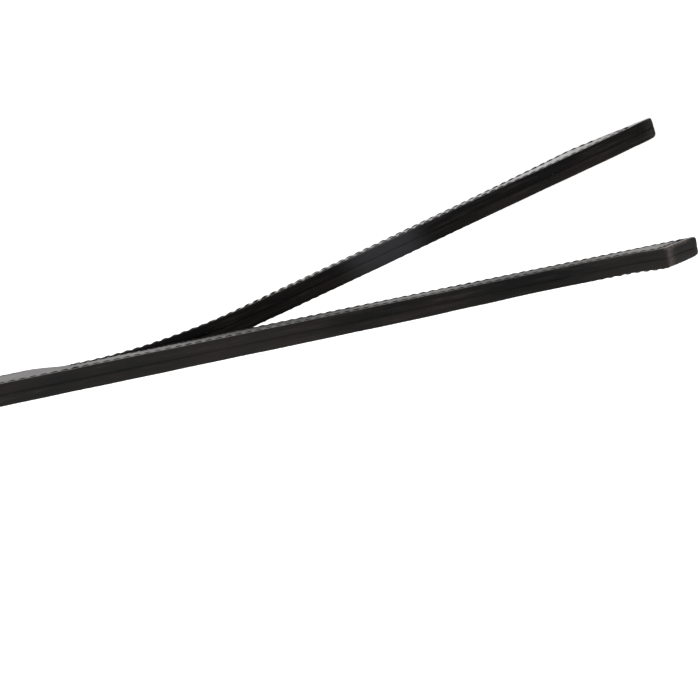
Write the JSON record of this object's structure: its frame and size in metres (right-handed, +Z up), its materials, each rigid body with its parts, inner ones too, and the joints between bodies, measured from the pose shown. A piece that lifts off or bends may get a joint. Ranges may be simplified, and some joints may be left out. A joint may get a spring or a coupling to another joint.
{
  "type": "split leather strap",
  "caption": "Long, heavy strap of stitched double leather, whole at the flat grip and divided along its middle into stiff tails with clipped tips that flex up and down.",
  "frame": {"origin": "middle of the grip's underside, on the strap's centre line", "axes": "+X along the strap from the grip to the tips of the tails, +Z up through its thickness, +Y towards the lifted far tail"},
  "size_m": [0.6115, 0.0612, 0.0743],
  "materials": {
    "leather": "black dyed strap leather, smooth grain face with a low sheen, cut edges dyed and burnished",
    "thread": "black waxed thread, matt"
  },
  "bodies": {
    "grip": {"grip_upper_leather": "leather", "grip_lower_leather": "leather", "grip_upper_edge_thread": "thread", "grip_lower_edge_thread": "thread", "split_upper_thread": "thread", "split_lower_thread": "thread"},
    "near_tail": {"near_tail_upper_leather": "leather", "near_tail_lower_leather": "leather", "near_tail_upper_thread": "thread", "near_tail_lower_thread": "thread"},
    "far_tail": {"far_tail_upper_leather": "leather", "far_tail_lower_leather": "leather", "far_tail_upper_thread": "thread", "far_tail_lower_thread": "thread"}
  },
  "joints": [
    {"name": "near_tail_flex", "type": "hinge", "parent": "grip", "child": "near_tail", "pos_m": [0.188, -0.0128, 0.0053], "axis": [0, -1, 0], "range_deg": [-25, 25], "stiffness_Nm_per_rad": 1.5, "springref_deg": 2.97},
    {"name": "far_tail_flex", "type": "hinge", "parent": "grip", "child": "far_tail", "pos_m": [0.188, 0.0128, 0.0053], "axis": [0.0454, -0.999, 0], "range_deg": [-38.3, 11.7], "stiffness_Nm_per_rad": 1.5, "springref_deg": 2.84}
  ]
}
